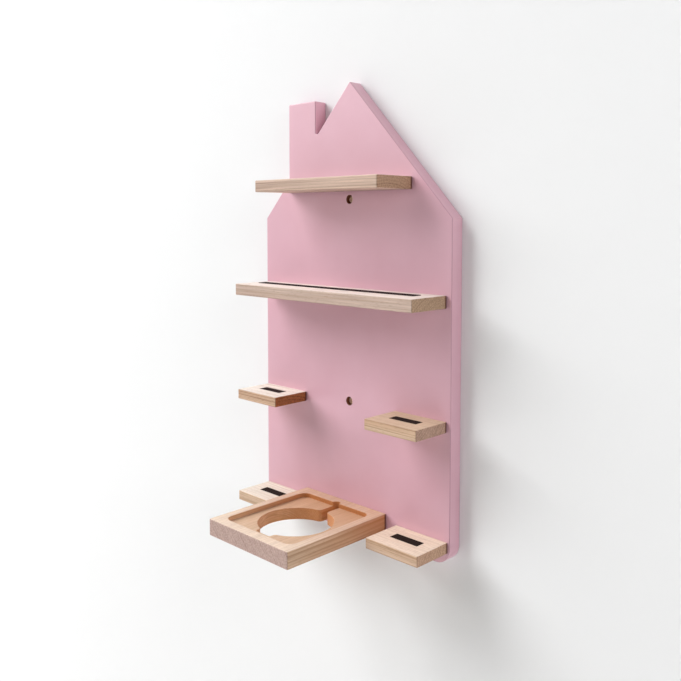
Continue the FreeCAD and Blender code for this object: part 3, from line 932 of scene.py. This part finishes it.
zinc = zinc_plate("zinc_plated_steel", "#F2E9D6", "#DDCFAE")
for node, screw in back_screws.items():
    head_radius, places, reach = fixing_places(node)
    cone_end_y = board_high[1] - screw.countersink
    neck_end_y = cone_end_y - screw_neck
    profile = [
        (head_radius - head_edge_round, reach[1]),
        (head_radius, reach[1] - head_edge_round),
        (screw.radius, cone_end_y),
        (screw.radius * thread_core_share, neck_end_y),
    ]
    parts = []
    for place in places:
        thread = thread_rows(place, neck_end_y, reach[0], screw.radius, shelf_thread_pitch)
        parts += screw_parts(place, profile, thread[1:], head_radius * cross_share, -1)
    make_piece("zinc_" + node, parts, [zinc], [node])

# The wall screws' heads, deep in their counterbores, get a darker and warmer zinc colour.
darker_zinc = zinc_plate("darker_zinc_plate", "#DABBA4", "#AA8870")
pan_flat = pan_radius * pan_flat_share
dome_turn = np.linspace(0, FULL_TURN / 4, edge_steps + 1)
dome_radius = pan_flat + (pan_radius - pan_flat) * np.sin(dome_turn)
dome_y = wall_screw_low[1] + pan_dome_height * (1 - np.cos(dome_turn))
profile = [
    *zip(dome_radius, dome_y),
    (pan_radius, counterbore_floor_y),
    (shank_radius, counterbore_floor_y),
    (shank_radius, board_high[1]),
]
parts = []
for place in wall_screw_places:
    thread = thread_rows(place, board_high[1], wall_screw_high[1], wall_thread_radius, wall_thread_pitch)
    parts += screw_parts(place, profile, thread[1:], pan_radius * cross_share, 1)
make_piece("zinc_wall_screws", parts, [darker_zinc], ["wall_screws"])

# Dowels: turned beech pins with lengthwise flutes that let the glue out. They reach from the board into the
# ledges and the tray, and are hidden once the shelf is together.
flute_count = 16
steps_per_flute = 5
flute_share = 0.06
dowel_end_round = 0.8
dowel_plank = Plank(
    pith=(20.0, 30.0), ring_width=3.0, line_share=0.4, fleck_share=0.3, oil_share=0,
    pale="#E2C4A4", deep="#D0AA86", line="#9C7450",
    end_pale="#B48F70", end_deep="#8A684C", bleached="#E2C4A4")


def dowel_rows(place, radius, reach):
    """A fluted pin along Y: the radius, less half a flute's depth times 1 - cos(flutes * turn).

    Its ends are eased with the same section as a plank's edges.
    """
    step_count = flute_count * steps_per_flute
    angle = np.arange(step_count) * FULL_TURN / step_count
    section = edge_section(reach[0], reach[1], dowel_end_round, dowel_end_round)
    width = (radius - section[:, :1]) * (1 - flute_share * (1 - np.cos(flute_count * angle)) / 2)
    y = np.broadcast_to(section[:, 1:], width.shape)
    return np.stack([place[0] + width * np.cos(angle), y, place[1] + width * np.sin(angle)], axis=2)


dowel_beech = beech("beech_dowels", grain_from_wall, dowel_plank)
for node in dowel_nodes:
    radius, places, reach = fixing_places(node)
    parts = []
    for place in places:
        parts += capped(dowel_rows(place, radius, reach))
    make_piece("turned_" + node, parts, [dowel_beech], [node])

# Stage: a white wall that the board hangs on, a pale floor far below, and soft studio light from the left
# and above. The wall is open just behind the board and clear from behind, so the board's back can be seen.
# The lamps' places and sizes are in metres, and all face the shelf's origin.
wall_gap = 0.05
wall_opening_inset = 1.5
wall_roughness = 0.9
stage_reach = 6000.0
wall_reach_right = 1500.0
floor_height = -1250.0
floor_roughness = 0.8
floor_glow_share = 0.8
fill_share = 0.05
Lamp = namedtuple("Lamp", "place size watts")
lamps = {
    "key_lamp": Lamp(place=(-4.05, -2.55, 3.75), size=4.4, watts=506.0),
    "sheen_lamp": Lamp(place=(-1.75, -1.60, 0.55), size=0.9, watts=4.0),
    "side_lamp": Lamp(place=(2.3, -0.7, 0.8), size=1.2, watts=20.5),
    "back_lamp": Lamp(place=(0.9, 1.6, 0.9), size=1.2, watts=34.0),
}


def stage_surface(name, code, roughness):
    """A plain matt material for the stage, with its node tree and its shader's output."""
    surface = bpy.data.materials.new(name)
    surface.use_nodes = True
    shader = surface.node_tree.nodes["Principled BSDF"]
    shader.inputs["Base Color"].default_value = srgb(code)
    shader.inputs["Roughness"].default_value = roughness
    return surface, surface.node_tree, shader.outputs["BSDF"]


def stage_piece(name, outlines, surface):
    """A flat part of the stage, inside the first outline and outside the others, in millimetres."""
    points, faces = flat_face(outlines)
    mesh = bpy.data.meshes.new(name)
    mesh.from_pydata(points * MM, [], faces.tolist())
    mesh.materials.append(surface)
    piece = bpy.data.objects.new(name, mesh)
    bpy.context.scene.collection.objects.link(piece)


def shown_share(tree):
    """One for rays that show a thing itself, to the camera, in a mirror or through glass, and else zero."""
    path = add_node(tree, "LightPath").outputs
    direct = (path["Is Camera Ray"], path["Is Glossy Ray"])
    shown = add_node(tree, "Math", direct, operation="MAXIMUM").outputs[0]
    return add_node(tree, "Math", (shown, path["Is Transmission Ray"]), operation="MAXIMUM").outputs[0]


wall_paint, tree, plain = stage_surface("white_wall", "#F2F3F4", wall_roughness)
behind = add_node(tree, "NewGeometry").outputs["Backfacing"]
clear = add_node(tree, "BsdfTransparent").outputs["BSDF"]
seen = add_node(tree, "MixShader", (behind, plain, clear)).outputs["Shader"]
tree.links.new(seen, tree.nodes["Material Output"].inputs["Surface"])
wall_sides = np.array([
    (-stage_reach, wall_gap, floor_height),
    (wall_reach_right, wall_gap, floor_height),
    (wall_reach_right, wall_gap, stage_reach),
    (-stage_reach, wall_gap, stage_reach),
])
wall_opening = edge_rows(house_outline, np.array([(wall_opening_inset, wall_gap)]), Y_AXIS)[0]
stage_piece("wall", [wall_sides, wall_opening], wall_paint)

floor_paint, tree, plain = stage_surface("pale_floor", "#E9E7E4", floor_roughness)
pale_share = add_node(tree, "Math", (shown_share(tree), floor_glow_share), operation="MULTIPLY").outputs[0]
glow = add_node(tree, "Emission", {"Color": srgb("#F4F3F1")}).outputs["Emission"]
seen = add_node(tree, "MixShader", (pale_share, plain, glow)).outputs["Shader"]
tree.links.new(seen, tree.nodes["Material Output"].inputs["Surface"])
floor_sides = np.array([
    (-stage_reach, -stage_reach, floor_height),
    (stage_reach, -stage_reach, floor_height),
    (stage_reach, stage_reach, floor_height),
    (-stage_reach, stage_reach, floor_height),
])
stage_piece("floor", [floor_sides], floor_paint)

# The world is white where it is seen and a weak fill light elsewhere.
world = bpy.data.worlds.new("studio")
world.use_nodes = True
bpy.context.scene.world = world
tree = world.node_tree
levels = (shown_share(tree), 1 - fill_share, fill_share)
level = add_node(tree, "Math", levels, operation="MULTIPLY_ADD").outputs[0]
background = tree.nodes["Background"]
background.inputs["Color"].default_value = srgb("#FFFFFF")
tree.links.new(level, background.inputs["Strength"])

for name, lamp in lamps.items():
    light = bpy.data.lights.new(name, "AREA")
    light.shape = "SQUARE"
    light.size = lamp.size
    light.energy = lamp.watts
    holder = bpy.data.objects.new(name, light)
    holder.location = lamp.place
    holder.rotation_euler = (-Vector(lamp.place)).to_track_quat("-Z", "Y").to_euler()
    bpy.context.scene.collection.objects.link(holder)

bpy.context.scene.view_settings.view_transform = "Standard"
